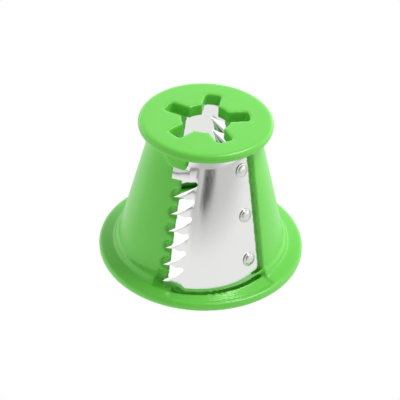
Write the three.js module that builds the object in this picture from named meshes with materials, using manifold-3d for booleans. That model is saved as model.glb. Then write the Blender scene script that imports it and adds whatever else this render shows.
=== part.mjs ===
// Cutting drum of a rotary grater: a moulded cone with two riveted stick-cutting blades.
// Millimetres, +Z up, origin at the middle of the base. The two halves of the drum are alike,
// half a turn apart. Angles round the drum start at its front (-Y) and grow towards +X.
// A depth is measured inwards from the drum's full outer cone.
import * as THREE from 'three';
import { mergeVertices } from 'three/addons/utils/BufferGeometryUtils.js';
import Module from 'manifold-3d';

const wasm = await Module();
wasm.setup();

const { degToRad, lerp, smoothstep } = THREE.MathUtils;

// Drum
const drumHeight = 78.5;
const coneBaseRadius = 44.7;
const coneTopRadius = 26.6;
const wallThickness = 2.5;
const roundSegments = 60;
const wallRows = 3;

// Top disc and its drive socket
const discRadius = 33;
const discThickness = 6.5;
const discRimThickness = 4.3;
const discHubLedge = 0.8;
const discTopRound = 2.2;
const discBottomRound = 1.2;
const socketArms = 5;
const socketFirstArm = degToRad(9);
const socketTipRadius = 21.3;
const socketArmWidth = 8;
const socketCoreRadius = 12;
const socketCornerRadius = 1.4;

// Base flange and foot band
const baseRingThickness = 3;
const flangeRadius = 52.5;
const flangeEdge = 4.3;
const flangeRound = 1.7;
const flangeFootRound = 0.8;
const flangeSeatHeight = 5.3;
const flangeSeatLedge = 1.5;
const footBandProud = 1.5;
const footBandHeight = 7.7;
const footBandRound = 0.7;
const flangeDrop = 0.9;
const flangeDropWidth = 5.4;
const apronStartAngle = degToRad(-19);

// Cutting slot, recess and lip
const slotEdgeAngle = degToRad(-23.3);
const recessStartAngle = degToRad(-64);
const recessDepth = 2.7;
const lipEndAngle = degToRad(-18.3);
const lipCurveAngle = degToRad(-36);
const lipHeight = 6.5;
const notchShare = 0.313;
const notchReach = 2.3;
const notchRise = 1;
const notchDepth = 1.6;
const pocketStartAngle = degToRad(-31);
const pocketEndAngle = degToRad(-18.5);
const pocketRoom = 1.9;
const pocketDepthInWall = 3.8;

// Blade
const sheetThickness = 0.7;
const fitClearance = 0.3;
const stepDepth = 2.4;
const stepBaseAngle = degToRad(47.6);
const stepTopAngle = degToRad(58.4);
const seatEdgeAngle = degToRad(22.5);
const seatThickness = 2.2;
const seatOverlapAngle = degToRad(3);
const sillOverlapAngle = degToRad(9);
const footLipDepth = 2.7;
const footLipThickness = 2;
const footLipHeight = 6.5;
const thickeningAngle = degToRad(12);
const tipAngle = degToRad(-27);
const stripWidth = 13.2;
const bladeFoot = 2.5;
const bladeFootGap = 0.9;
const bladeFootMiddle = degToRad(4);
const bladeFrontRoom = 1.2;
const bladeHeadGap = 0.5;
const tabEndAngle = degToRad(-32.5);
const tabHeight = 5.8;
const headNotchWidth = 5.6;

// Teeth
const toothCount = 6;
const lowestTip = 5.5;
const gapRootInset = 2.1;
const gapRootRadius = 1.25;
const gapRootRise = 0.35;
const gapRootStart = degToRad(120);
const gapRootEnd = degToRad(-40);
const gapBumpReach = 6.9;
const gapBumpRise = 0.6;
const foldFoot = 4.3;
const foldFootRise = 1;
const foldRootInset = 0.2;
const foldAngle = degToRad(20);
const tipReach = 0.8;
const tipDrop = 0.4;
const pointThickness = 0.63;
const lastToothReach = 7.1;
const lastToothDrop = 0.5;

// Rivets
const rivetInset = 7.5;
const rivetShankRadius = 1.6;
const rivetHeadRadius = 3.65;
const rivetHeadHeight = 1.1;
const rivetTailRadius = 2.6;
const rivetTailHeight = 0.9;
const rivetEdge = 0.25;
const rivetRound = 0.4;
const rivetSides = 16;
const drillLength = 16;
const lowRivetHeight = 16.3;
const topRivetDrop = 9.4;

// Heights and depths that follow from the sizes above
const discUnderside = drumHeight - discThickness;
const lipBottom = discUnderside - lipHeight;
const tabTop = lipBottom - bladeHeadGap;
const tabBottom = tabTop - tabHeight;
const toothPitch = (tabBottom - lowestTip) / toothCount;
const notchRadius = notchShare * toothPitch;
const bladeTop = discUnderside - bladeHeadGap;
const seatDepth = sheetThickness + fitClearance;
const grooveFloor = bladeFoot - bladeFootGap;
const seatInner = stepDepth + seatDepth + seatThickness;
const footLipStartAngle = slotEdgeAngle - seatOverlapAngle;
const fuseDepth = 0.5;
const wallTop = discUnderside + fuseDepth;
const cutTop = footBandHeight + 3;
const throughDepth = 9;
const gapRoot = stripWidth - gapRootInset;
const halfTurn = new THREE.Matrix4().makeRotationZ(Math.PI);

// ---------------------------------------------------------------- the drum's surfaces

function coneRadius(z) {
  return lerp(coneBaseRadius, coneTopRadius, z / discUnderside);
}

function onDrum(angle, depth, z) {
  const radius = coneRadius(z) - depth;
  return new THREE.Vector3(radius * Math.sin(angle), -radius * Math.cos(angle), z);
}

// The step is straight from the base to the disc.
function stepAngle(z) {
  const base = new THREE.Vector2(Math.sin(stepBaseAngle), -Math.cos(stepBaseAngle));
  const top = new THREE.Vector2(Math.sin(stepTopAngle), -Math.cos(stepTopAngle));
  base.multiplyScalar(coneBaseRadius);
  top.multiplyScalar(coneTopRadius);
  const point = base.lerp(top, z / discUnderside);
  return Math.atan2(point.x, -point.y);
}

function creaseAngle(z) {
  return tipAngle + stripWidth / coneRadius(z);
}

// The wall sinks gently from full radius to the cutting slot's edge.
function recess(angle) {
  return recessDepth * smoothstep(angle, recessStartAngle, slotEdgeAngle);
}

// The blade's outer face runs in a spiral, from the crease down to the foot of the step.
function bladeDepth(angle, z) {
  return (stepDepth * (angle - creaseAngle(z))) / (stepAngle(z) - creaseAngle(z));
}

function restingDepth(angle) {
  return recess(angle) - fitClearance - sheetThickness;
}

// A straight edge cut in the flat sheet lifts at its ends when the sheet is rolled to a cone.
function bladeFootLift(angle) {
  const slope = (coneBaseRadius - coneTopRadius) / discUnderside;
  const apexDistance = coneBaseRadius / slope;
  return (coneBaseRadius * (angle - bladeFootMiddle)) ** 2 / (2 * apexDistance);
}

// ---------------------------------------------------------------- solids

function solid(geometry) {
  const bare = geometry.clone();
  bare.deleteAttribute('normal');
  bare.deleteAttribute('uv');
  const merged = mergeVertices(bare, 1e-4);
  const vertProperties = new Float32Array(merged.attributes.position.array);
  const triVerts = new Uint32Array(merged.index.array);
  return new wasm.Manifold(new wasm.Mesh({ numProp: 3, vertProperties, triVerts }));
}

function geometryOf(body) {
  const { vertProperties, triVerts } = body.getMesh();
  const geometry = new THREE.BufferGeometry();
  geometry.setAttribute('position', new THREE.BufferAttribute(vertProperties, 3));
  geometry.setIndex(new THREE.BufferAttribute(triVerts, 1));
  const faceted = geometry.toNonIndexed();
  faceted.computeVertexNormals();
  return faceted;
}

// A box of columns x 1 x rows cells whose vertices are moved by place(column, 0 or 1, 0 to 1).
function bentBox(columns, rows, place) {
  const geometry = new THREE.BoxGeometry(columns, 1, 1, columns, 1, rows);
  geometry.translate(columns / 2, 0.5, 0.5);
  const position = geometry.attributes.position;
  for (let i = 0; i < position.count; i += 1) {
    const point = place(position.getX(i), position.getY(i), position.getZ(i));
    position.setXYZ(i, point.x, point.y, point.z);
  }
  return solid(geometry);
}

function lathed(profile) {
  const points = profile.map(([radius, z]) => new THREE.Vector2(radius, z));
  const geometry = new THREE.LatheGeometry(points, roundSegments);
  return solid(geometry.rotateX(Math.PI / 2));
}

// Points of a quarter-round or other arc in a lathe profile, from one angle to another.
function arc(centreRadius, centreHeight, radius, from, to, pieces = 3) {
  const points = [];
  for (let i = 0; i <= pieces; i += 1) {
    const angle = degToRad(lerp(from, to, i / pieces));
    points.push([centreRadius + radius * Math.cos(angle), centreHeight + radius * Math.sin(angle)]);
  }
  return points;
}

function prism(shape, from, to) {
  const options = { depth: to - from, bevelEnabled: false, curveSegments: 5 };
  return new THREE.ExtrudeGeometry(shape, options).translate(0, 0, from);
}

function inBothHalves(body) {
  return body.add(body.transform(halfTurn.elements));
}

// ---------------------------------------------------------------- cone body

function baseRing() {
  const inner = coneBaseRadius - baseRingThickness;
  const seat = coneRadius(flangeSeatHeight);
  const bandTop = coneRadius(footBandHeight);
  return lathed([
    [inner, 0],
    ...arc(flangeRadius - flangeFootRound, flangeFootRound, flangeFootRound, -90, 0, 2),
    ...arc(flangeRadius - flangeRound, flangeEdge - flangeRound, flangeRound, 0, 80),
    [seat + flangeSeatLedge, flangeSeatHeight],
    [bandTop + footBandProud, flangeSeatHeight + footBandRound],
    [bandTop + footBandProud - footBandRound / 2, footBandHeight],
    [bandTop + footBandRound / 2, footBandHeight + footBandRound],
    [bandTop - baseRingThickness, footBandHeight + 1],
    [inner, 0],
  ]);
}

// The disc is thinner at its rim than over the cone, where its underside comes down to the wall.
function topDisc() {
  const rimUnderside = drumHeight - discRimThickness;
  const bottom = discRadius - discBottomRound;
  return lathed([
    [0, discUnderside],
    [coneTopRadius + discHubLedge, discUnderside],
    ...arc(bottom, rimUnderside + discBottomRound, discBottomRound, -80, 0, 2),
    ...arc(discRadius - discTopRound, drumHeight - discTopRound, discTopRound, 0, 90),
    [0, drumHeight],
  ]);
}

function socketCut() {
  const halfWidth = socketArmWidth / 2;
  const coreHalfAngle = Math.asin(halfWidth / socketCoreRadius);
  const tip = socketTipRadius - socketCornerRadius;
  const side = halfWidth - socketCornerRadius;
  const shape = new THREE.Shape();
  for (let arm = 0; arm < socketArms; arm += 1) {
    const angle = socketFirstArm + (arm * 2 * Math.PI) / socketArms;
    const along = new THREE.Vector2(Math.cos(angle), Math.sin(angle));
    const across = new THREE.Vector2(-along.y, along.x);
    const at = (a, b) => along.clone().multiplyScalar(a).addScaledVector(across, b);
    const right = at(tip, -side);
    const left = at(tip, side);
    shape.absarc(0, 0, socketCoreRadius, angle - degToRad(360 / socketArms) + coreHalfAngle,
      angle - coreHalfAngle, false);
    shape.absarc(right.x, right.y, socketCornerRadius, angle - Math.PI / 2, angle, false);
    shape.absarc(left.x, left.y, socketCornerRadius, angle, angle + Math.PI / 2, false);
  }
  return solid(prism(shape, discUnderside - 1, drumHeight + 1));
}

// The wall runs from the step beside one blade to the slot edge of the other blade.
function wallHalf() {
  const columns = 18;
  return bentBox(columns, wallRows, (column, inward, up) => {
    const z = lerp(0, wallTop, up);
    const angle = lerp(stepAngle(z), slotEdgeAngle + Math.PI, column / columns);
    const extra = seatInner - wallThickness;
    const nearStep = 1 - smoothstep(angle, stepAngle(z), stepAngle(z) + thickeningAngle);
    const outer = recess(angle - Math.PI);
    return onDrum(angle, outer + inward * (wallThickness + extra * nearStep), z);
  });
}

// The blade seat continues the wall behind the blade, as far as the slot.
function bladeSeat() {
  const columns = 8;
  return bentBox(columns, wallRows, (column, inward, up) => {
    const z = lerp(0, wallTop, up);
    const angle = lerp(seatEdgeAngle, stepAngle(z) + seatOverlapAngle, column / columns);
    const outer = bladeDepth(Math.min(angle, stepAngle(z)), z) + seatDepth;
    return onDrum(angle, outer + inward * seatThickness, z);
  });
}

// A sill closes the ring under the blade and its seat, which stand further in than the wall.
function seatSill() {
  const columns = 14;
  return bentBox(columns, 1, (column, inward, up) => {
    const z = lerp(0, grooveFloor, up);
    const angle = lerp(footLipStartAngle, stepAngle(z) + sillOverlapAngle, column / columns);
    return onDrum(angle, lerp(wallThickness / 2, seatInner, inward), z);
  });
}

// A low lip stands on the sill behind the blade's foot, from the slot edge to the seat.
function footLip() {
  const columns = 8;
  const lipEnd = seatEdgeAngle + seatOverlapAngle;
  return bentBox(columns, 1, (column, inward, up) => {
    const angle = lerp(footLipStartAngle, lipEnd, column / columns);
    return onDrum(angle, footLipDepth + inward * footLipThickness, footLipHeight * up);
  });
}

// The lip keeps the full radius under the disc and swings up to it away from the slot.
function lip() {
  const columns = 12;
  const reach = recessDepth + wallThickness;
  return bentBox(columns, 1, (column, inward, up) => {
    const angle = lerp(recessStartAngle, lipEndAngle, column / columns);
    const swing = THREE.MathUtils.clamp((lipCurveAngle - angle) / (lipCurveAngle - recessStartAngle), 0, 1);
    const rise = (wallTop - fuseDepth / 2 - lipBottom) * Math.sin((swing * Math.PI) / 2);
    return onDrum(angle, inward * reach, lerp(lipBottom + rise, wallTop, up));
  });
}

// Room in the flange and foot band for the blade's foot.
function footGroove() {
  const columns = 12;
  return bentBox(columns, 1, (column, inward, up) => {
    const z = lerp(grooveFloor, cutTop, up);
    const angle = lerp(apronStartAngle, stepAngle(z), column / columns);
    const outer = Math.max(bladeDepth(angle, z), 0) - bladeFrontRoom;
    return onDrum(angle, lerp(outer, throughDepth, inward), z);
  });
}

// Room for the lowest tooth, right through the foot band and a little way into the wall.
function toothPocket(innerDepth) {
  const columns = 4;
  return bentBox(columns, 1, (column, inward, up) => {
    const angle = lerp(pocketStartAngle, pocketEndAngle, column / columns);
    const z = lerp(lowestTip - pocketRoom, cutTop, up);
    return onDrum(angle, lerp(-pocketRoom, innerDepth, inward), z);
  });
}

// The flange is a little lower in front of the blade.
function loweredFlange() {
  const columns = 12;
  const slope = (flangeSeatHeight - flangeEdge) / (flangeRadius - flangeRound - coneBaseRadius);
  return bentBox(columns, 1, (column, inward, up) => {
    const angle = lerp(apronStartAngle, stepAngle(flangeSeatHeight), column / columns);
    const radius = lerp(coneBaseRadius + flangeDropWidth, coneBaseRadius - stepDepth, inward);
    const floor = flangeSeatHeight - flangeDrop - slope * (radius - coneBaseRadius);
    const z = lerp(floor, cutTop, up);
    return new THREE.Vector3(radius * Math.sin(angle), -radius * Math.cos(angle), z);
  });
}

// The notches are pockets in the wall's outer face, open to the slot.
function notches(strip) {
  const cuts = [];
  for (let tooth = 1; tooth < toothCount; tooth += 1) {
    const z = tipHeight(tooth) + notchRise;
    const centre = notchRadius - notchReach;
    const shape = new THREE.Shape();
    shape.moveTo(gapRoot, z + notchRadius);
    shape.absarc(centre, z, notchRadius, Math.PI / 2, 1.5 * Math.PI, false);
    shape.lineTo(gapRoot, z - notchRadius);
    const cut = prism(shape, -(seatDepth + notchDepth), throughDepth / 2);
    cuts.push(solid(cut.applyMatrix4(strip)));
  }
  return cuts.reduce((all, cut) => all.add(cut));
}

function coneBody(strip) {
  const cutsInBase = footGroove().add(toothPocket(throughDepth)).add(loweredFlange());
  const walls = wallHalf().add(bladeSeat()).add(seatSill()).add(footLip()).add(lip());
  const cutsInWall = notches(strip).add(toothPocket(pocketDepthInWall)).add(rivetHoles());
  return baseRing()
    .subtract(inBothHalves(cutsInBase))
    .add(inBothHalves(walls))
    .add(topDisc())
    .subtract(socketCut())
    .subtract(inBothHalves(cutsInWall));
}

// ---------------------------------------------------------------- blade

function tipHeight(tooth) {
  return lowestTip + tooth * toothPitch;
}

// Maps (across the strip, height, outwards) to the flat toothed strip; across starts at the tips.
function stripMatrix() {
  const middle = (lowestTip + tabBottom) / 2;
  const depth = restingDepth(tipAngle);
  const origin = onDrum(tipAngle, depth, 0);
  const upwards = onDrum(tipAngle, depth, 1).sub(origin);
  const crease = onDrum(creaseAngle(middle), 0, middle);
  const across = crease.sub(onDrum(tipAngle, depth, middle)).normalize();
  const outwards = across.clone().cross(upwards).normalize();
  return new THREE.Matrix4().makeBasis(across, upwards, outwards).setPosition(origin);
}

// The sheet before the teeth are cut: tab, strip, crease and rolled main face.
function bladeSheet() {
  const mainColumns = 12;
  return bentBox(mainColumns + 2, wallRows, (column, inward, up) => {
    const columnAngle = (z) => {
      const end = stepAngle(z) - fitClearance / coneRadius(z);
      if (column < 1) return tabEndAngle;
      if (column < 2) return tipAngle;
      return lerp(creaseAngle(z), end, (column - 2) / mainColumns);
    };
    const foot = bladeFoot + bladeFootLift(columnAngle(bladeFoot));
    const z = lerp(foot, bladeTop, up);
    const angle = columnAngle(z);
    const outer = column < 2 ? restingDepth(angle) : bladeDepth(angle, z);
    return onDrum(angle, outer + inward * sheetThickness, z);
  });
}

// Everything left of the teeth, with the gaps between them, as one comb-shaped cut.
function combCut(strip) {
  const shape = new THREE.Shape();
  shape.moveTo(-stripWidth, tabBottom);
  for (let tooth = toothCount - 1; tooth >= 0; tooth -= 1) {
    const upperSide = tipHeight(tooth + 1);
    shape.lineTo(gapBumpReach, upperSide + gapBumpRise);
    shape.absarc(gapRoot - gapRootRadius, upperSide + gapRootRise, gapRootRadius,
      gapRootStart, gapRootEnd, true);
    shape.lineTo(foldFoot, tipHeight(tooth) + foldFootRise);
  }
  shape.lineTo(lastToothReach, lowestTip - lastToothDrop);
  shape.lineTo(lastToothReach, -bladeFoot);
  shape.lineTo(-stripWidth, -bladeFoot);
  return solid(prism(shape, -throughDepth, throughDepth).applyMatrix4(strip));
}

function headCut(strip) {
  const shape = new THREE.Shape();
  shape.moveTo(-stripWidth, tabTop);
  shape.lineTo(headNotchWidth, tabTop);
  shape.lineTo(headNotchWidth, drumHeight);
  shape.lineTo(-stripWidth, drumHeight);
  return solid(prism(shape, -throughDepth, throughDepth).applyMatrix4(strip));
}

// The pointed end of a tooth, folded inwards along a line from its lower edge to the gap root.
function toothPoint(tooth, strip) {
  const low = new THREE.Vector2(foldFoot, tipHeight(tooth) + foldFootRise);
  const rootCentre = gapRoot - gapRootRadius;
  const root = new THREE.Vector2(
    rootCentre + gapRootRadius * Math.cos(gapRootEnd) - foldRootInset,
    tipHeight(tooth + 1) + gapRootRise + gapRootRadius * Math.sin(gapRootEnd),
  );
  const overlap = root.clone().sub(low).normalize().rotateAround(new THREE.Vector2(), -Math.PI / 2);
  overlap.multiplyScalar(sheetThickness / 2);
  const shape = new THREE.Shape([
    new THREE.Vector2(-tipReach, tipHeight(tooth) - tipDrop),
    low,
    low.clone().add(overlap),
    root.clone().add(overlap),
    root,
  ]);
  const hinge = new THREE.Vector3(low.x, low.y, -sheetThickness).applyMatrix4(strip);
  const hingeEnd = new THREE.Vector3(root.x, root.y, -sheetThickness).applyMatrix4(strip);
  const axis = hingeEnd.clone().sub(hinge).normalize();
  const fold = new THREE.Matrix4()
    .makeTranslation(hinge)
    .multiply(new THREE.Matrix4().makeRotationAxis(axis, -foldAngle))
    .multiply(new THREE.Matrix4().makeTranslation(hinge.clone().negate()));
  const point = prism(shape, -sheetThickness, pointThickness - sheetThickness);
  return solid(point.applyMatrix4(strip).applyMatrix4(fold));
}

function blade(strip) {
  let body = bladeSheet().subtract(combCut(strip)).subtract(headCut(strip));
  for (let tooth = 0; tooth < toothCount; tooth += 1) {
    body = body.add(toothPoint(tooth, strip));
  }
  return body.subtract(rivetHoles());
}

// ---------------------------------------------------------------- rivets

const rivetHeights = {
  upper: discUnderside - topRivetDrop,
  middle: (discUnderside - topRivetDrop + lowRivetHeight) / 2,
  lower: lowRivetHeight,
};

// Where a rivet stands: a point on the blade's outer face, with +Z turned to the face's normal.
function rivetPlace(z) {
  const face = (angle, height) => onDrum(angle, bladeDepth(angle, height), height);
  const angle = stepAngle(z) - rivetInset / coneRadius(z);
  const centre = face(angle, z);
  const across = face(angle + 0.01, z).sub(centre);
  const upwards = face(angle, z + 0.5).sub(centre);
  const normal = across.cross(upwards).normalize();
  const turn = new THREE.Quaternion().setFromUnitVectors(new THREE.Vector3(0, 0, 1), normal);
  return new THREE.Matrix4().compose(centre, turn, new THREE.Vector3(1, 1, 1));
}

function rivetHoles() {
  const cuts = Object.values(rivetHeights).map((z) => {
    const radius = rivetShankRadius + fitClearance;
    const drill = new THREE.CylinderGeometry(radius, radius, drillLength, rivetSides);
    return solid(drill.rotateX(Math.PI / 2).applyMatrix4(rivetPlace(z)));
  });
  return cuts.reduce((all, cut) => all.add(cut));
}

function rivetGeometry() {
  const underHead = fitClearance;
  const overTail = -(seatDepth + seatThickness + fitClearance);
  const tailEnd = overTail - rivetTailHeight;
  const crown = underHead + rivetHeadHeight;
  const profile = [
    [0, tailEnd + rivetRound],
    [rivetShankRadius, tailEnd],
    [rivetTailRadius, overTail - rivetRound],
    [rivetTailRadius - rivetRound / 2, overTail],
    [rivetShankRadius, overTail],
    [rivetShankRadius, underHead],
    [rivetHeadRadius, underHead],
    [rivetHeadRadius, underHead + rivetEdge],
    [rivetHeadRadius * 0.86, crown - rivetRound],
    [rivetHeadRadius * 0.6, crown - rivetRound / 4],
    [0, crown],
  ];
  const points = profile.map(([radius, z]) => new THREE.Vector2(radius, z));
  const head = new THREE.LatheGeometry(points, rivetSides);
  return geometryOf(solid(head.rotateX(Math.PI / 2)));
}

// ---------------------------------------------------------------- assembly

const strip = stripMatrix();
const drum = new THREE.Group();

const bodyPlastic = new THREE.MeshStandardMaterial({ color: '#5fd04e', roughness: 0.35, metalness: 0 });
const bodyMesh = new THREE.Mesh(geometryOf(coneBody(strip)), bodyPlastic);
bodyMesh.name = 'cone_body';
drum.add(bodyMesh);

const bladeGeometry = geometryOf(blade(strip));
const rivetShape = rivetGeometry();

function bladeSet(side) {
  const set = new THREE.Group();
  const bladeSteel = new THREE.MeshStandardMaterial({ color: '#d4d6d4', roughness: 0.3, metalness: 1 });
  const sheet = new THREE.Mesh(bladeGeometry, bladeSteel);
  sheet.name = `${side}_blade`;
  set.add(sheet);
  for (const [level, z] of Object.entries(rivetHeights)) {
    const rivetSteel = new THREE.MeshStandardMaterial({ color: '#c8cac8', roughness: 0.25, metalness: 1 });
    const rivet = new THREE.Mesh(rivetShape, rivetSteel);
    rivet.name = `${side}_blade_rivet_${level}`;
    rivetPlace(z).decompose(rivet.position, rivet.quaternion, rivet.scale);
    set.add(rivet);
  }
  return set;
}

const frontSet = bladeSet('front');
const rearSet = bladeSet('rear');
rearSet.rotation.z = Math.PI;
drum.add(frontSet, rearSet);

export default drum;
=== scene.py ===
# %% [markdown]
# # The cutting drum of a rotary grater
# The drum is a hollow cone of bright green moulded plastic. Two stainless steel blades with
# saw-like teeth are let into its sides, half a turn apart, and three rivets hold each one.
# This lesson loads the finished engineering model as a fixed frame and builds the pieces again
# with the soft edges, bent sheet and surface finishes that it leaves out.

import math

import bmesh
import bpy
from mathutils import Matrix, Vector


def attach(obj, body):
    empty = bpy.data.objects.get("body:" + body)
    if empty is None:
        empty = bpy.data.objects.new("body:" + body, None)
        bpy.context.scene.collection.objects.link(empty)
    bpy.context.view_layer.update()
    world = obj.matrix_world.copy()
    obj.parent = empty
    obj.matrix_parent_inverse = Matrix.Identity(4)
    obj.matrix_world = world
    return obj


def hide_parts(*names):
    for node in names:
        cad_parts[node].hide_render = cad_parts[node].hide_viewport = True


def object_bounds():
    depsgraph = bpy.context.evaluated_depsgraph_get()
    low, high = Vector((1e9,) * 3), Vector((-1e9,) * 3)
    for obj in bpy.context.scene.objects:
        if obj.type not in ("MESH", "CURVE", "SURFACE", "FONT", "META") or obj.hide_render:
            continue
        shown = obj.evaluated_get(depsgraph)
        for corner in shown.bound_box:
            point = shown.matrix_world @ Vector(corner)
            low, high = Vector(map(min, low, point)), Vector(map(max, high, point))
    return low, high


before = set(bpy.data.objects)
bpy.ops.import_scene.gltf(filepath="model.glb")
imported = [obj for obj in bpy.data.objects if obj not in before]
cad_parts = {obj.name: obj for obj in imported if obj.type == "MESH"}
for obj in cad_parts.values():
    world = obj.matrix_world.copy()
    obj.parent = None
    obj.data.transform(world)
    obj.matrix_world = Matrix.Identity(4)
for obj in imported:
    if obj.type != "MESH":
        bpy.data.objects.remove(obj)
frame_low, frame_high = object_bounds()
scene = bpy.context.scene
scene.view_settings.view_transform = "Standard"
print("frame nodes:", sorted(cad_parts))
print("frame box in mm:", [round(1000 * side, 1) for side in frame_high - frame_low])

# %% [markdown]
# ## Millimetres
# The shapes are worked out in millimetres, because booleans and remeshing behave better on
# numbers near one than on thousandths of a metre. Each piece shrinks to metres at the end.
# The overall height and width come from the frame, so the pieces always fit it.

# %% Sizes of the drum in millimetres
MM = 0.001
HALF_TURN = Matrix.Rotation(math.pi, 4, "Z")

drum_height = frame_high.z / MM
flange_radius = frame_high.x / MM
cone_base_radius = 44.7
cone_top_radius = 26.6
wall_thickness = 2.5
disc_radius = 33.0
disc_thickness = 6.5
disc_underside = drum_height - disc_thickness

slot_edge_angle = math.radians(-23.3)
recess_start_angle = math.radians(-64)
recess_depth = 2.7
step_depth = 2.4
step_base_angle = math.radians(47.6)
step_top_angle = math.radians(58.4)
tip_angle = math.radians(-27)
strip_width = 13.2
sheet_thickness = 0.7
fit_clearance = 0.3
seat_depth = sheet_thickness + fit_clearance
seat_thickness = 2.2
blade_foot = 2.5
print("drum:", round(drum_height, 1), "high,", round(2 * flange_radius, 1), "wide")


# %% [markdown]
# ## Places on the drum
# Angles go round the drum from its front, and a depth is measured inwards from the full
# cone. Every shape below asks these few functions where it lies, so the body, the blades and
# the rivets agree with one another and with the frame.

# %% Functions that give places on the drum
def between(a, b, share):
    return a + (b - a) * share


def eased(value, start, end):
    share = min(max((value - start) / (end - start), 0.0), 1.0)
    return share * share * (3 - 2 * share)


def cone_radius(z):
    return between(cone_base_radius, cone_top_radius, z / disc_underside)


def on_drum(angle, depth, z):
    radius = cone_radius(z) - depth
    return Vector((radius * math.sin(angle), -radius * math.cos(angle), z))


def step_angle(z):
    """The step beside the blade is a straight line from the base to the disc."""
    base = on_drum(step_base_angle, 0, 0)
    top = on_drum(step_top_angle, 0, disc_underside)
    point = base.lerp(top, z / disc_underside)
    return math.atan2(point.x, -point.y)


def crease_angle(z):
    return tip_angle + strip_width / cone_radius(z)


def recess(angle):
    """The wall sinks gently from the full cone to the edge of the cutting slot."""
    return recess_depth * eased(angle, recess_start_angle, slot_edge_angle)


def blade_depth(angle, z):
    """The blade spirals inwards from its crease to the foot of the step."""
    crease = crease_angle(z)
    return step_depth * (angle - crease) / (step_angle(z) - crease)


def resting_depth(angle):
    return recess(angle) - fit_clearance - sheet_thickness


# %% [markdown]
# ## Small tools
# A mesh is started with bmesh operators, handed to an object, and finished by modifiers that
# are settled into its mesh at once. A slab is a flat grid that is extruded once and then bent
# into place vertex by vertex, which suits the curved walls.

# %% Functions that make meshes and objects
def new_object(name, bm):
    mesh = bpy.data.meshes.new(name)
    bm.to_mesh(mesh)
    bm.free()
    piece = bpy.data.objects.new(name, mesh)
    scene.collection.objects.link(piece)
    return piece


def with_modifier(piece, kind, **settings):
    """Adds one modifier, and settles it into the mesh."""
    modifier = piece.modifiers.new(kind, kind)
    for name, value in settings.items():
        setattr(modifier, name, value)
    depsgraph = bpy.context.evaluated_depsgraph_get()
    settled = bpy.data.meshes.new_from_object(piece.evaluated_get(depsgraph))
    piece.modifiers.clear()
    piece.data = settled
    return piece


def cut_from(piece, cutter):
    with_modifier(piece, "BOOLEAN", operation="DIFFERENCE", solver="EXACT", object=cutter)
    bpy.data.objects.remove(cutter)
    return piece


def bent_slab(columns, rows, place):
    """A closed slab whose corners are moved by place(along, inwards, up), each from 0 to 1."""
    bm = bmesh.new()
    bmesh.ops.create_grid(bm, x_segments=columns, y_segments=rows, size=0.5)
    bmesh.ops.translate(bm, vec=(0.5, 0.5, 0), verts=bm.verts)
    raised = bmesh.ops.extrude_face_region(bm, geom=bm.faces[:])["geom"]
    bmesh.ops.translate(bm, vec=(0, 0, 1),
                        verts=[part for part in raised if isinstance(part, bmesh.types.BMVert)])
    for vert in bm.verts:
        vert.co = place(vert.co.x, vert.co.z, vert.co.y)
    bmesh.ops.recalc_face_normals(bm, faces=bm.faces)
    return bm


def turned(profile, steps, closed):
    """Spins a line of (radius, height) points once round the upright axis."""
    bm = bmesh.new()
    points = [bm.verts.new((radius, 0, height)) for radius, height in profile]
    ends = points[1:] + points[:1] if closed else points[1:]
    lines = [bm.edges.new(pair) for pair in zip(points, ends)]
    bmesh.ops.spin(bm, geom=points + lines, cent=(0, 0, 0), axis=(0, 0, 1),
                   angle=2 * math.pi, steps=steps, use_merge=True)
    bmesh.ops.remove_doubles(bm, verts=bm.verts, dist=1e-4)
    bmesh.ops.recalc_face_normals(bm, faces=bm.faces)
    return bm


def prism(outline, low, high):
    """Raises a flat outline of (x, y) points from one height to another."""
    bm = bmesh.new()
    base = bm.faces.new([bm.verts.new((x, y, low)) for x, y in outline])
    raised = bmesh.ops.extrude_face_region(bm, geom=[base])["geom"]
    bmesh.ops.translate(bm, vec=(0, 0, high - low),
                        verts=[part for part in raised if isinstance(part, bmesh.types.BMVert)])
    bmesh.ops.recalc_face_normals(bm, faces=bm.faces)
    return bm


def arc(x, y, radius, start, end, pieces=6):
    """Points on an arc, from one angle in degrees to another."""
    angles = [math.radians(between(start, end, i / pieces)) for i in range(pieces + 1)]
    return [(x + radius * math.cos(angle), y + radius * math.sin(angle)) for angle in angles]


def joined(*parts):
    """Puts several meshes into one, each placed by its own matrix."""
    together = bmesh.new()
    for bm, matrices in parts:
        for matrix in matrices:
            copy = bpy.data.meshes.new("part")
            bm.to_mesh(copy)
            copy.transform(matrix)
            together.from_mesh(copy)
            bpy.data.meshes.remove(copy)
        bm.free()
    return together


BOTH_SIDES = (Matrix.Identity(4), HALF_TURN)


# %% [markdown]
# ## The strip with the teeth
# Left of its crease the blade is a flat strip. The notches in the wall, the teeth and the gaps
# between them are all laid out on that strip, across it from the line of the tips and up it
# from the floor. One matrix carries such a place onto the drum.

# %% The teeth and the strip they stand on
lip_height = 6.5
lip_bottom = disc_underside - lip_height
top_gap = 0.5
tab_height = 5.8
tab_top = lip_bottom - top_gap
tab_bottom = tab_top - tab_height
tooth_count = 6
lowest_tip = 5.5
tooth_pitch = (tab_bottom - lowest_tip) / tooth_count


def tip_height(tooth):
    return lowest_tip + tooth * tooth_pitch


def strip_matrix():
    middle = (lowest_tip + tab_bottom) / 2
    depth = resting_depth(tip_angle)
    foot = on_drum(tip_angle, depth, 0)
    upwards = on_drum(tip_angle, depth, 1) - foot
    crease = on_drum(crease_angle(middle), 0, middle)
    across = (crease - on_drum(tip_angle, depth, middle)).normalized()
    outwards = across.cross(upwards).normalized()
    matrix = Matrix((across, upwards, outwards)).transposed().to_4x4()
    matrix.translation = foot
    return matrix


strip = strip_matrix()
print("tooth pitch in mm:", round(tooth_pitch, 2))


# %% [markdown]
# ## The rivets' places
# Each rivet stands square to the sheet, a little in from the step.

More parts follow.
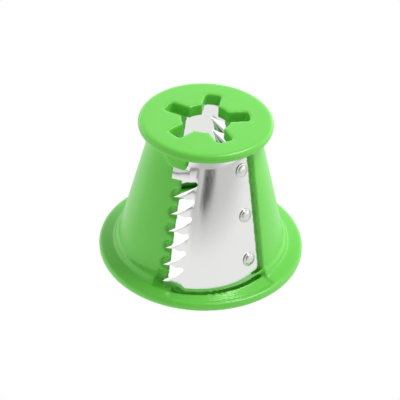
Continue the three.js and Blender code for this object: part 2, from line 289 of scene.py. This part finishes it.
# %% Where the rivets stand
low_rivet = 16.3
top_rivet = disc_underside - 9.4
rivet_heights = {"upper": top_rivet, "middle": (top_rivet + low_rivet) / 2, "lower": low_rivet}
rivet_inset = 7.5
rivet_shank_radius = 1.6


def rivet_matrix(z):
    def face(angle, height):
        return on_drum(angle, blade_depth(angle, height), height)

    angle = step_angle(z) - rivet_inset / cone_radius(z)
    centre = face(angle, z)
    across = face(angle + 0.01, z) - centre
    upwards = face(angle, z + 0.5) - centre
    turn = across.cross(upwards).normalized().to_track_quat("Z", "Y")
    return Matrix.LocRotScale(centre, turn, None)


def rivet_drills(radius):
    bm = bmesh.new()
    bmesh.ops.create_cone(bm, cap_ends=True, segments=32, radius1=radius, radius2=radius,
                          depth=16)
    return joined((bm, [rivet_matrix(z) for z in rivet_heights.values()]))


# %% [markdown]
# ## The moulded body
# The real body comes out of one mould: a base ring with a flange, a cone wall that sinks
# towards each cutting slot, a seat behind each blade, and a thick top disc with the star
# socket for the crank. Here each part is a closed shape of its own. The shapes are laid
# through one another, and a voxel remesh fuses them and softens every inside corner, as the
# mould does.

# %% The base ring
base_ring_thickness = 3.0
foot_band_height = 7.7
foot_band_proud = 1.5
foot_band_shoulder = 1.2
foot_band_brow = 0.4
foot_band_round = 0.7
flange_edge = 4.3
flange_round = 1.7
flange_foot_round = 0.8
flange_seat_height = 5.3
round_steps = 180


def base_ring():
    inner = cone_base_radius - base_ring_thickness
    foot = flange_radius - flange_foot_round
    band_top = cone_radius(foot_band_height)
    return turned([
        (inner, 0),
        *arc(foot, flange_foot_round, flange_foot_round, -90, 0),
        *arc(flange_radius - flange_round, flange_edge - flange_round, flange_round, 0, 80),
        (cone_radius(flange_seat_height) + foot_band_proud, flange_seat_height),
        (band_top + foot_band_proud, flange_seat_height + foot_band_round),
        (band_top + foot_band_shoulder, foot_band_height),
        (band_top + foot_band_brow, foot_band_height + foot_band_round),
        (band_top - base_ring_thickness, foot_band_height + 1),
    ], round_steps, closed=True)


# %% [markdown]
# The blade's foot stands in a groove in the flange, the lowest tooth needs a pocket, and the
# flange is a little lower in front of the blade. All three are cut from the base ring.

# %% Cuts in the base ring
through_depth = 9
headroom = 3
groove_floor = blade_foot - 0.9
groove_front = 1.2
flange_drop = 0.9
flange_drop_width = 5.4
apron_start = math.radians(-19)
pocket_degrees = (-31, -18.5)
pocket_front = 1.9
pocket_floor = lowest_tip - 1.9
pocket_depth_in_wall = 3.8


def foot_groove():
    def place(along, inwards, up):
        z = between(groove_floor, foot_band_height + headroom, up)
        angle = between(apron_start, step_angle(z), along)
        outer = max(blade_depth(angle, z), 0) - groove_front
        return on_drum(angle, between(outer, through_depth, inwards), z)
    return bent_slab(36, 1, place)


def tooth_pocket(inner_depth=through_depth):
    def place(along, inwards, up):
        angle = math.radians(between(*pocket_degrees, along))
        z = between(pocket_floor, foot_band_height + headroom, up)
        return on_drum(angle, between(-pocket_front, inner_depth, inwards), z)
    return bent_slab(10, 1, place)


def lowered_flange():
    run = flange_radius - flange_round - cone_base_radius
    slope = (flange_seat_height - flange_edge) / run

    def place(along, inwards, up):
        angle = between(apron_start, step_angle(flange_seat_height), along)
        outer = cone_base_radius + flange_drop_width
        radius = between(outer, cone_base_radius - step_depth, inwards)
        floor = flange_seat_height - flange_drop - slope * (radius - cone_base_radius)
        z = between(floor, foot_band_height + 2, up)
        return Vector((radius * math.sin(angle), -radius * math.cos(angle), z))
    return bent_slab(36, 1, place)


ring = new_object("base_ring", base_ring())
for cutter in (foot_groove, tooth_pocket, lowered_flange):
    cut_from(ring, new_object("cutter", joined((cutter(), BOTH_SIDES))))
print("base ring faces:", len(ring.data.polygons))


# %% [markdown]
# Each half of the wall runs from the step beside one blade to the slot edge of the other. The
# points of the teeth reach over the slot's edge, where a round pocket in the wall leaves each
# one free.

# %% The wall, its notches and the lip under the disc
notch_radius = 2.8
notch_reach = 2.3
notch_rise = 1.0
notch_depth = 1.6
notch_floor = -(seat_depth + notch_depth)
notch_mouth = 4
lip_end_angle = math.radians(-18.3)
lip_curve_angle = math.radians(-36)
wall_top = disc_underside + 0.5


def wall_half():
    thickening = math.radians(12)
    seat_inner = step_depth + seat_depth + seat_thickness

    def place(along, inwards, up):
        z = wall_top * up
        angle = between(step_angle(z), slot_edge_angle + math.pi, along)
        near_step = 1 - eased(angle, step_angle(z), step_angle(z) + thickening)
        thickness = between(wall_thickness, seat_inner, near_step)
        return on_drum(angle, recess(angle - math.pi) + inwards * thickness, z)
    return bent_slab(72, 12, place)


def notches():
    centre = notch_radius - notch_reach
    drills = []
    for tooth in range(1, tooth_count):
        z = tip_height(tooth) + notch_rise
        outline = [(through_depth, z + notch_radius),
                   *arc(centre, z, notch_radius, 90, 270, 16),
                   (through_depth, z - notch_radius)]
        cutter = prism(outline, notch_floor, notch_mouth)
        drills.append((cutter, [strip, HALF_TURN @ strip]))
    return joined(*drills)


def lip():
    reach = recess_depth + wall_thickness

    def place(along, inwards, up):
        angle = between(recess_start_angle, lip_end_angle, along)
        swing = (lip_curve_angle - angle) / (lip_curve_angle - recess_start_angle)
        rise = math.sin(min(max(swing, 0), 1) * math.pi / 2)
        bottom = lip_bottom + (lip_height + 0.3) * rise
        return on_drum(angle, inwards * reach, between(bottom, wall_top, up))
    return bent_slab(48, 1, place)


walls = new_object("walls", joined((wall_half(), BOTH_SIDES)))
cut_from(walls, new_object("cutter", notches()))
cut_from(walls, new_object("cutter", joined((tooth_pocket(pocket_depth_in_wall), BOTH_SIDES))))
lips = new_object("lips", joined((lip(), BOTH_SIDES)))
print("wall faces:", len(walls.data.polygons))


# %% [markdown]
# Behind each blade the wall carries on as a seat, set back by the sheet's thickness. The
# rivets go through it. A sill closes the base ring under it, and a low lip stands on the sill
# behind the blade's foot.

# %% The blade seats
seat_edge_angle = math.radians(22.5)
seat_lap = math.radians(3)
sill_lap = math.radians(9)
foot_lip_start = slot_edge_angle - seat_lap
foot_lip_depth = 2.7
foot_lip_thickness = 2
foot_lip_height = 6.5


def blade_seat():
    def place(along, inwards, up):
        z = wall_top * up
        angle = between(seat_edge_angle, step_angle(z) + seat_lap, along)
        outer = blade_depth(min(angle, step_angle(z)), z) + seat_depth
        return on_drum(angle, outer + inwards * seat_thickness, z)
    return bent_slab(24, 12, place)


def seat_sill():
    inner = step_depth + seat_depth + seat_thickness

    def place(along, inwards, up):
        z = groove_floor * up
        angle = between(foot_lip_start, step_angle(z) + sill_lap, along)
        return on_drum(angle, between(wall_thickness / 2, inner, inwards), z)
    return bent_slab(36, 1, place)


def foot_lip():
    def place(along, inwards, up):
        angle = between(foot_lip_start, seat_edge_angle + seat_lap, along)
        depth = foot_lip_depth + foot_lip_thickness * inwards
        return on_drum(angle, depth, foot_lip_height * up)
    return bent_slab(24, 1, place)


seats = new_object("seats", joined((blade_seat(), BOTH_SIDES)))
drills = rivet_drills(rivet_shank_radius + fit_clearance)
cut_from(seats, new_object("cutter", joined((drills, BOTH_SIDES))))
sills = new_object("sills", joined((seat_sill(), BOTH_SIDES), (foot_lip(), BOTH_SIDES)))
print("seat faces:", len(seats.data.polygons))


# %% [markdown]
# The top disc is turned from its profile, thin at the rim and thicker where it meets the
# cone. The star socket is one flat outline of five arms round a core, raised to a prism and
# cut right through.

# %% The top disc and its star socket
disc_rim_thickness = 4.3
disc_hub_ledge = 0.8
disc_top_round = 2.2
disc_bottom_round = 1.2
socket_arms = 5
socket_first_arm = 9
socket_tip_radius = 21.3
socket_arm_width = 8.0
socket_core_radius = 12.0
socket_corner_radius = 1.4


def top_disc():
    top = disc_radius - disc_top_round
    bottom = disc_radius - disc_bottom_round
    rim_underside = drum_height - disc_rim_thickness
    return turned([
        (0, disc_underside),
        (cone_top_radius + disc_hub_ledge, disc_underside),
        *arc(bottom, rim_underside + disc_bottom_round, disc_bottom_round, -80, 0, 4),
        *arc(top, drum_height - disc_top_round, disc_top_round, 0, 90, 10),
        (0, drum_height),
    ], round_steps, closed=False)


def socket_cutter():
    half_width = socket_arm_width / 2
    core_half = math.degrees(math.asin(half_width / socket_core_radius))
    tip = socket_tip_radius - socket_corner_radius
    side = half_width - socket_corner_radius
    turn = 360 / socket_arms
    outline = []
    for arm in range(socket_arms):
        aim = socket_first_arm + arm * turn
        along = Vector((math.cos(math.radians(aim)), math.sin(math.radians(aim))))
        left = along * tip + along.orthogonal() * side
        right = along * tip - along.orthogonal() * side
        outline += arc(0, 0, socket_core_radius, aim - turn + core_half, aim - core_half, 6)
        outline += arc(right.x, right.y, socket_corner_radius, aim - 90, aim, 5)
        outline += arc(left.x, left.y, socket_corner_radius, aim, aim + 90, 5)
    return prism(outline, disc_underside - 1, drum_height + 1)


disc = new_object("disc", top_disc())
cut_from(disc, new_object("cutter", socket_cutter()))
print("disc faces:", len(disc.data.polygons))

# %% [markdown]
# The remesh steps are a little under a third of the wall's thickness, fine enough to keep
# the lip's corners, and a light smoothing rounds what is left of the edges.

# %% Fuse the body
voxel = 0.745


def fused(name, shapes):
    together = bmesh.new()
    for shape in shapes:
        together.from_mesh(shape.data)
        bpy.data.objects.remove(shape)
    piece = new_object(name, together)
    with_modifier(piece, "REMESH", mode="VOXEL", voxel_size=voxel, adaptivity=0)
    with_modifier(piece, "SMOOTH", factor=0.5, iterations=3)
    return piece


def in_metres(piece):
    piece.data.transform(Matrix.Scale(MM, 4))
    piece.data.shade_smooth()
    return piece


body = in_metres(fused("moulded_body", [ring, walls, lips, seats, sills, disc]))
print("body triangles:", 2 * len(body.data.polygons))

# %% [markdown]
# ## The blades
# A blade starts as a flat blank, cut from 0.7 mm stainless strip. Its outline is drawn flat,
# divided where the sheet will bend, and the toothed edge is folded. Then the blank is rolled
# onto the drum and given its thickness.

# %% The blank's outline
blade_top = disc_underside - top_gap
tab_left = math.radians(-32.5)
head_notch = 5.6
gap_root_inset = 2.1
gap_root_radius = 1.25
gap_root_rise = 0.35
gap_bump = Vector((6.9, 0.6))
fold_foot = Vector((4.3, 1.0))
tooth_tip = Vector((-0.8, -0.4))
last_tooth_reach = 7.1
last_tooth_drop = 0.5
main_width = 40.0
gap_centre = strip_width - gap_root_inset - gap_root_radius


def blank_outline():
    """The flat blank, going round with the sheet on the left hand."""
    right = strip_width + main_width
    tab_reach = (tab_left - tip_angle) * cone_radius(tab_top)
    outline = [(last_tooth_reach, blade_foot), (right, blade_foot), (right, blade_top),
               (head_notch, blade_top), (head_notch, tab_top), (tab_reach, tab_top),
               (tab_reach, tab_bottom)]
    for tooth in reversed(range(tooth_count)):
        above = tip_height(tooth + 1)
        outline += [(gap_bump.x, above + gap_bump.y)]
        outline += arc(gap_centre, above + gap_root_rise, gap_root_radius, 120, -40, 12)
        outline += [(point.x, tip_height(tooth) + point.y) for point in (tooth_tip, fold_foot)]
    return outline + [(last_tooth_reach, lowest_tip - last_tooth_drop)]


def blank():
    bm = bmesh.new()
    bm.faces.new([bm.verts.new((x, y, 0)) for x, y in blank_outline()])
    return bm


def sliced(bm, faces, point, direction):
    """Divides the faces along a line, and returns all the faces they became."""
    edges = {edge for face in faces for edge in face.edges}
    verts = {vert for face in faces for vert in face.verts}
    made = bmesh.ops.bisect_plane(bm, geom=[*verts, *edges, *faces], plane_co=point,
                                  plane_no=direction, dist=1e-3)["geom"]
    return [part for part in made if isinstance(part, bmesh.types.BMFace)]


flat = blank()
print("blank outline points:", len(flat.verts))

# %% [markdown]
# The sheet is divided where it bends: at the line of the tips, along the crease, and in even
# columns over the rolled main face. Rows keep the rolled face true to the cone.

# %% Divide the blank
crease_softness = 0.3
facet_start = 11.2
column_width = 1.4
row_height = 4.0


def divide_blank(bm):
    columns = [-2.6, -1.3, 0, gap_centre, facet_start - crease_softness, facet_start,
               strip_width - crease_softness, strip_width, strip_width + crease_softness]
    count = round(main_width / column_width)
    columns += [strip_width + main_width * i / count for i in range(1, count)]
    for x in columns:
        sliced(bm, bm.faces[:], (x, 0, 0), (1, 0, 0))
    rows = round((blade_top - blade_foot) / row_height)
    for row in range(1, rows):
        y = between(blade_foot, blade_top, row / rows)
        right_of_teeth = [face for face in bm.faces if face.calc_center_median().x > gap_centre]
        sliced(bm, right_of_teeth, (0, y, 0), (0, 1, 0))


divide_blank(flat)
print("blank faces:", len(flat.faces))


# %% [markdown]
# The pointed end of each tooth is folded inwards, along a line from the tooth's lower edge to
# the root of the gap above it. That leaves a raised cutting ridge down the tooth.

# %% Fold the teeth
fold_angle = math.radians(20)


def fold_teeth(bm):
    for tooth in range(tooth_count):
        low = Vector((fold_foot.x, tip_height(tooth) + fold_foot.y, 0))
        root_x, root_y = arc(gap_centre, gap_root_rise, gap_root_radius, -40, -40)[0]
        root = Vector((root_x, tip_height(tooth + 1) + root_y, 0))
        along = (root - low).normalized()
        leftwards = Vector((-along.y, along.x, 0))

        def in_tooth(point):
            return point.x < root.x and low.y - 2 < point.y < low.y + tooth_pitch - 1.5

        faces = [face for face in bm.faces if in_tooth(face.calc_center_median())]
        pieces = sliced(bm, faces, low, leftwards)
        folded = {vert for face in pieces for vert in face.verts
                  if (vert.co - low).dot(leftwards) > 1e-3}
        bmesh.ops.rotate(bm, cent=low, matrix=Matrix.Rotation(-fold_angle, 3, along),
                         verts=list(folded))


fold_teeth(flat)
print("blank faces with teeth folded:", len(flat.faces))


# %% [markdown]
# Rolling carries each point of the blank onto the drum. The strip stays flat, the tab bends
# back against the wall, and the main face becomes a spiral on the cone. A straight edge lifts
# at its ends when a sheet is rolled to a cone, so the foot of the blade curves upwards.

# %% Roll the blank onto the drum
foot_middle = math.radians(4)
facet_rise = 0.12
blade_edge_round = 0.12
rivet_hole_gap = 0.05


def foot_lift(angle):
    apex_distance = disc_underside * cone_base_radius / (cone_base_radius - cone_top_radius)
    return (cone_base_radius * (angle - foot_middle)) ** 2 / (2 * apex_distance)


def rolled(point):
    x, y, outwards = point
    if x < 0 and y > tab_bottom - 0.1:
        angle = tip_angle + x / cone_radius(y)
        return on_drum(angle, resting_depth(angle), y)
    if x <= strip_width:
        angle = between(tip_angle, crease_angle(y), x / strip_width)
    else:
        end = step_angle(y) - fit_clearance / cone_radius(y)
        angle = between(crease_angle(y), end, (x - strip_width) / main_width)
    z = y + (foot_lift(angle) if abs(y - blade_foot) < 1e-3 else 0)
    if x > strip_width:
        return on_drum(angle, blade_depth(angle, z), z)
    place = strip @ Vector((x, z, outwards))
    meeting = on_drum(crease_angle(z), 0, z) - strip @ Vector((strip_width, z, 0))
    rise = facet_rise * (1 - abs(x - facet_start) / (strip_width - facet_start))
    normal = strip.to_3x3() @ Vector((0, 0, 1))
    return place + meeting * max(x - gap_centre, 0) / (strip_width - gap_centre) \
        + normal * max(rise, 0)


def roll_blank(bm):
    for vert in bm.verts:
        vert.co = rolled(vert.co)
    bmesh.ops.triangulate(bm, faces=[face for face in bm.faces if len(face.verts) > 4])


roll_blank(flat)
blade = new_object("blade", flat)
with_modifier(blade, "SOLIDIFY", thickness=sheet_thickness, offset=-1, use_even_offset=True)
with_modifier(blade, "BEVEL", width=blade_edge_round, segments=2, limit_method="ANGLE",
              angle_limit=math.radians(50), use_clamp_overlap=True)
cut_from(blade, new_object("cutter", rivet_drills(rivet_shank_radius + rivet_hole_gap)))
print("blade faces:", len(blade.data.polygons))


# %% [markdown]
# Both blades are the same pressing, so the second is the first turned half round.

# %% The two blades
def placed_copy(name, source, matrix):
    piece = source.copy()
    piece.data = source.data.copy()
    piece.name = name
    piece.data.name = name
    piece.data.transform(matrix)
    scene.collection.objects.link(piece)
    return in_metres(piece)


front_blade = placed_copy("toothed_blade_front", blade, Matrix.Identity(4))
rear_blade = placed_copy("toothed_blade_rear", blade, HALF_TURN)
bpy.data.objects.remove(blade)

# %% [markdown]
# ## The rivets
# Each rivet is turned from one profile: a low dome inside a thin brim, a shank through sheet
# and seat, and a tail spread against the seat's inside.

# %% A rivet's profile
head_radius = 3.65
brim_height = 0.42
dome_radius = 2.8
crown_height = 1.35
tail_radius = 2.6
tail_height = 0.9


def rivet_profile():
    seat_back = -(seat_depth + seat_thickness + 0.1)
    dome = [(dome_radius * math.cos(math.radians(a)),
             between(brim_height, crown_height, math.sin(math.radians(a))))
            for a in range(0, 90, 9)]
    return [
        (0, seat_back - tail_height + 0.3),
        (rivet_shank_radius * 0.6, seat_back - tail_height + 0.1),
        (rivet_shank_radius, seat_back - tail_height),
        (tail_radius - 0.3, seat_back - tail_height + 0.25),
        (tail_radius, seat_back - tail_height / 2),
        (tail_radius - 0.2, seat_back),
        (rivet_shank_radius, seat_back),
        (rivet_shank_radius, 0.04),
        (head_radius - 0.1, 0.04),
        (head_radius, 0.12),
        (head_radius, brim_height - 0.14),
        (head_radius - 0.14, brim_height),
        (dome_radius + 0.1, brim_height),
        *dome,
        (0, crown_height),
    ]


rivet = new_object("rivet", turned(rivet_profile(), 48, closed=False))
rivets = {}
for side, turn in (("front", BOTH_SIDES[0]), ("rear", BOTH_SIDES[1])):
    for level, z in rivet_heights.items():
        name = f"rivet_{side}_{level}"
        rivets[f"{side}_blade_rivet_{level}"] = placed_copy(name, rivet, turn @ rivet_matrix(z))
bpy.data.objects.remove(rivet)
print("rivets:", sorted(rivets))

# %% [markdown]
# ## Finishes
# Colours are written as sRGB hex values and turned to linear by one function. Another adds a
# node with its settings and links.

# %% Functions for materials
def linear(code):
    """The linear colour of an sRGB hex code."""
    parts = [int(code[i:i + 2], 16) / 255 for i in (1, 3, 5)]
    curved = [p / 12.92 if p <= 0.04045 else ((p + 0.055) / 1.055) ** 2.4 for p in parts]
    return (*curved, 1.0)


def add_node(tree, kind, inputs=None, **settings):
    """Adds a node. An input is a number, a colour or another node's output."""
    node = tree.nodes.new(kind)
    for name, value in settings.items():
        setattr(node, name, value)
    for name, value in (inputs or {}).items():
        if isinstance(value, bpy.types.NodeSocket):
            tree.links.new(value, node.inputs[name])
        else:
            node.inputs[name].default_value = value
    return node


def scale_of(lump):
    """The noise scale that makes lumps of that many millimetres."""
    return 1 / (lump * MM)


def new_material(name):
    material = bpy.data.materials.new(name)
    material.use_nodes = True
    material.node_tree.nodes.clear()
    return material, material.node_tree


def dressed(piece, material, slot_name, *nodes):
    """Gives a piece its finish, its body and the nodes that it stands for."""
    piece.data.materials.clear()
    piece.data.materials.append(material)
    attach(piece, "root")
    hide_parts(*nodes)


# %% [markdown]
# The body is ABS or a like plastic, coloured right through and moulded in a polished steel
# mould. It has a soft gloss, a very slight ripple from cooling about 9 mm across, and a satin
# tooth. The real tooth is finer than 0.6 mm, but it is drawn that coarse so that it shows.

# %% Moulded green ABS
def moulded_abs():
    material, tree = new_material("moulded_green_abs")
    place = add_node(tree, "ShaderNodeTexCoord").outputs["Object"]
    cloud = add_node(tree, "ShaderNodeTexNoise", {"Vector": place, "Scale": scale_of(25),
                                                  "Detail": 3.0})
    tone = add_node(tree, "ShaderNodeMix", {
        "Factor": cloud.outputs["Fac"], "A": linear("#66CF43"), "B": linear("#6ED64B"),
    }, data_type="RGBA")
    ripple = add_node(tree, "ShaderNodeTexNoise", {"Vector": place, "Scale": scale_of(9)})
    tooth = add_node(tree, "ShaderNodeTexNoise", {"Vector": place, "Scale": scale_of(0.6),
                                                  "Detail": 2.0})
    sheen = add_node(tree, "ShaderNodeMapRange", {
        "Value": tooth.outputs["Fac"], "To Min": 0.27, "To Max": 0.37})
    waves = add_node(tree, "ShaderNodeBump", {
        "Height": ripple.outputs["Fac"], "Strength": 0.3, "Distance": 0.06 * MM})
    grit = add_node(tree, "ShaderNodeBump", {
        "Height": tooth.outputs["Fac"], "Strength": 0.2, "Distance": 0.01 * MM,
        "Normal": waves.outputs["Normal"]})
    skin = add_node(tree, "ShaderNodeBsdfPrincipled", {
        "Base Color": tone.outputs["Result"], "Roughness": sheen.outputs["Result"],
        "IOR": 1.54, "Normal": grit.outputs["Normal"]})
    add_node(tree, "ShaderNodeOutputMaterial", {"Surface": skin.outputs["BSDF"]})
    return material


# %% [markdown]
# The blades are cold-rolled stainless steel, left with the mill's satin face. Its grain is
# finer than a hair, so it is drawn much coarser, as faint streaks 0.8 mm wide along the sheet.
# They vary the gloss and only just stir the surface.

# %% Rolled stainless steel
def rolled_stainless():
    material, tree = new_material("rolled_stainless_steel")
    place = add_node(tree, "ShaderNodeTexCoord").outputs["Object"]
    along = add_node(tree, "ShaderNodeMapping", {"Vector": place, "Scale": (1, 1, 0.04)})
    grain = add_node(tree, "ShaderNodeTexNoise", {
        "Vector": along.outputs["Vector"], "Scale": scale_of(0.8), "Detail": 2.0})
    haze = add_node(tree, "ShaderNodeMapRange", {
        "Value": grain.outputs["Fac"], "To Min": 0.09, "To Max": 0.17})
    streaks = add_node(tree, "ShaderNodeBump", {
        "Height": grain.outputs["Fac"], "Strength": 0.1, "Distance": 0.008 * MM})
    skin = add_node(tree, "ShaderNodeBsdfPrincipled", {
        "Base Color": linear("#E6E7E4"), "Metallic": 1.0,
        "Roughness": haze.outputs["Result"], "Normal": streaks.outputs["Normal"]})
    add_node(tree, "ShaderNodeOutputMaterial", {"Surface": skin.outputs["BSDF"]})
    return material


# %% [markdown]
# The rivets are stainless too, but set by a polished die, so they are shinier.

# %% Bright rivet steel
def set_rivet_steel():
    material, tree = new_material("set_rivet_steel")
    place = add_node(tree, "ShaderNodeTexCoord").outputs["Object"]
    marks = add_node(tree, "ShaderNodeTexNoise", {"Vector": place, "Scale": scale_of(0.8),
                                                  "Detail": 3.0})
    haze = add_node(tree, "ShaderNodeMapRange", {
        "Value": marks.outputs["Fac"], "To Min": 0.2, "To Max": 0.32})
    dents = add_node(tree, "ShaderNodeBump", {
        "Height": marks.outputs["Fac"], "Strength": 0.2, "Distance": 0.02 * MM})
    skin = add_node(tree, "ShaderNodeBsdfPrincipled", {
        "Base Color": linear("#D8D9D6"), "Metallic": 1.0,
        "Roughness": haze.outputs["Result"], "Normal": dents.outputs["Normal"]})
    add_node(tree, "ShaderNodeOutputMaterial", {"Surface": skin.outputs["BSDF"]})
    return material


# %% [markdown]
# Each piece now gets its finish, and stands for the engineering piece that it was built from.
# Nothing on the drum moves by itself, so all of them ride on its one body.

# %% Dress the pieces
plastic = moulded_abs()
steel = rolled_stainless()
rivet_steel = set_rivet_steel()
dressed(body, plastic, "body_plastic", "cone_body")
dressed(front_blade, steel, "blade_steel", "front_blade")
dressed(rear_blade, steel, "blade_steel", "rear_blade")
for node, piece in rivets.items():
    dressed(piece, rivet_steel, "rivet_steel", node)
print("finishes:", [material.name for material in (plastic, steel, rivet_steel)])

# %% [markdown]
# ## The studio
# The drum stands on a white table that glows, as overlit product tables do, so it casts no
# shadow. The table glows only upwards. Its light fades towards its edge, which the top of the
# steel mirrors, but the camera sees it white all over.

# %% The table
table_radius = 0.6
floor_bm = bmesh.new()
bmesh.ops.create_circle(floor_bm, cap_ends=True, segments=96, radius=table_radius)
bmesh.ops.inset_region(floor_bm, faces=floor_bm.faces[:], thickness=0.05)
floor = new_object("table", floor_bm)
white_table, tree = new_material("glowing_white_table")
place = add_node(tree, "ShaderNodeTexCoord").outputs["Object"]
lit_middle = add_node(tree, "ShaderNodeMapping", {"Vector": place, "Location": (0, -0.08, 0)})
reach = add_node(tree, "ShaderNodeVectorMath", {"Vector": lit_middle.outputs["Vector"]},
                 operation="LENGTH")
fading = add_node(tree, "ShaderNodeMapRange", {
    "Value": reach.outputs["Value"], "From Min": 0.22, "From Max": 0.34, "To Min": 1.0,
    "To Max": 0.68})
seen = add_node(tree, "ShaderNodeLightPath").outputs["Is Camera Ray"]
strength = add_node(tree, "ShaderNodeMath", operation="MAXIMUM")
tree.links.new(fading.outputs["Result"], strength.inputs[0])
tree.links.new(seen, strength.inputs[1])
glow = add_node(tree, "ShaderNodeEmission", {"Color": linear("#FFFFFF"),
                                             "Strength": strength.outputs["Value"]})
clear = add_node(tree, "ShaderNodeBsdfTransparent")
underneath = add_node(tree, "ShaderNodeNewGeometry").outputs["Backfacing"]
one_sided = add_node(tree, "ShaderNodeMixShader", {"Fac": underneath})
tree.links.new(glow.outputs["Emission"], one_sided.inputs[1])
tree.links.new(clear.outputs["BSDF"], one_sided.inputs[2])
add_node(tree, "ShaderNodeOutputMaterial", {"Surface": one_sided.outputs["Shader"]})
floor.data.materials.append(white_table)
print("table:", round(2 * table_radius, 1), "m across")

# %% [markdown]
# Round the table the room is bright behind and at the sides, greyer in front, where the steel
# looks, and darkest overhead. The camera sees a plain white backdrop instead.

# %% The room
world = bpy.data.worlds.new("studio")
world.use_nodes = True
scene.world = world
tree = world.node_tree
tree.nodes.clear()
aim = add_node(tree, "ShaderNodeTexCoord").outputs["Generated"]
part = add_node(tree, "ShaderNodeSeparateXYZ", {"Vector": aim})
round_about = add_node(tree, "ShaderNodeMapRange", {
    "Value": part.outputs["Y"], "From Min": -0.9, "From Max": 0.4, "To Min": 0.6,
    "To Max": 2.0})
overhead = add_node(tree, "ShaderNodeMapRange", {
    "Value": part.outputs["Z"], "From Min": 0.2, "From Max": 0.75, "To Min": 1.0,
    "To Max": 0.16})
strength = add_node(tree, "ShaderNodeMath", operation="MULTIPLY")
tree.links.new(round_about.outputs["Result"], strength.inputs[0])
tree.links.new(overhead.outputs["Result"], strength.inputs[1])
seen = add_node(tree, "ShaderNodeLightPath").outputs["Is Camera Ray"]
room = add_node(tree, "ShaderNodeBackground", {"Color": linear("#FFFFFF"),
                                               "Strength": strength.outputs["Value"]})
backdrop = add_node(tree, "ShaderNodeBackground", {"Color": linear("#FFFFFF")})
both = add_node(tree, "ShaderNodeMixShader", {"Fac": seen})
tree.links.new(room.outputs["Background"], both.inputs[1])
tree.links.new(backdrop.outputs["Background"], both.inputs[2])
add_node(tree, "ShaderNodeOutputWorld", {"Surface": both.outputs["Shader"]})
print("room nodes:", len(tree.nodes))


# %% [markdown]
# One soft light hangs above, to the right and a little behind, as the brighter right side of
# the drum calls for.

# %% The lights
def softbox(name, place, width, watts):
    light = bpy.data.lights.new(name, "AREA")
    light.size = width
    light.energy = watts
    lamp = bpy.data.objects.new(name, light)
    lamp.location = place
    lamp.rotation_euler = (-Vector(place)).to_track_quat("-Z", "Y").to_euler()
    scene.collection.objects.link(lamp)
    return lamp


lamp = softbox("softbox_above_right", (0.26, 0.05, 0.58), width=0.25, watts=2.3)
print("softbox:", round(lamp.location.length, 2), "m from the drum's foot")


# %% [markdown]
# Steel shows what stands in front of it. A dark card lies far out on the table, where the
# blade mirrors it as the dark line beside its crease, and a grey one lies where the toothed
# strip and its tab look. Only reflections show them: they are hidden from the camera, and
# cast neither shade nor colour.

# %% The cards
card_height = 0.002


def card(name, corners, shade):
    bm = bmesh.new()
    bm.faces.new([bm.verts.new((x, y, card_height)) for x, y in corners])
    bmesh.ops.recalc_face_normals(bm, faces=bm.faces)
    piece = new_object(name, bm)
    material, tree = new_material(name)
    board = add_node(tree, "ShaderNodeBsdfDiffuse", {"Color": linear(shade)})
    add_node(tree, "ShaderNodeOutputMaterial", {"Surface": board.outputs["BSDF"]})
    piece.data.materials.append(material)
    piece.visible_camera = False
    piece.visible_diffuse = False
    piece.visible_shadow = False


card("dark_card", [(0.045, -0.262), (0.012, -0.295), (0.115, -0.48), (0.24, -0.36)], "#161616")
card("grey_card", [(-0.2, -0.18), (-0.16, -0.5), (-0.44, -0.5), (-0.44, -0.18)], "#B0B0B0")
print("cards: dark_card, grey_card")

# %% [markdown]
# ## The camera
# The camera looks down at the drum from the front, about two thirds of a metre away, through
# a long lens. It leans a little to one side.

# %% The camera
camera_lean = math.radians(2.41)
target = Vector((-0.00126, 0, 0.02859))
camera_data = bpy.data.cameras.new("camera")
camera_data.lens = 117.0
camera_data.sensor_width = 36.0
camera = bpy.data.objects.new("camera", camera_data)
camera.location = (-0.00126, -0.5243, 0.42656)
camera.rotation_mode = "QUATERNION"
look = (target - camera.location).to_track_quat("-Z", "Y")
camera.rotation_quaternion = look @ Matrix.Rotation(camera_lean, 3, "Z").to_quaternion()
scene.collection.objects.link(camera)
scene.camera = camera
print("camera:", round((target - camera.location).length, 2), "m from what it looks at")
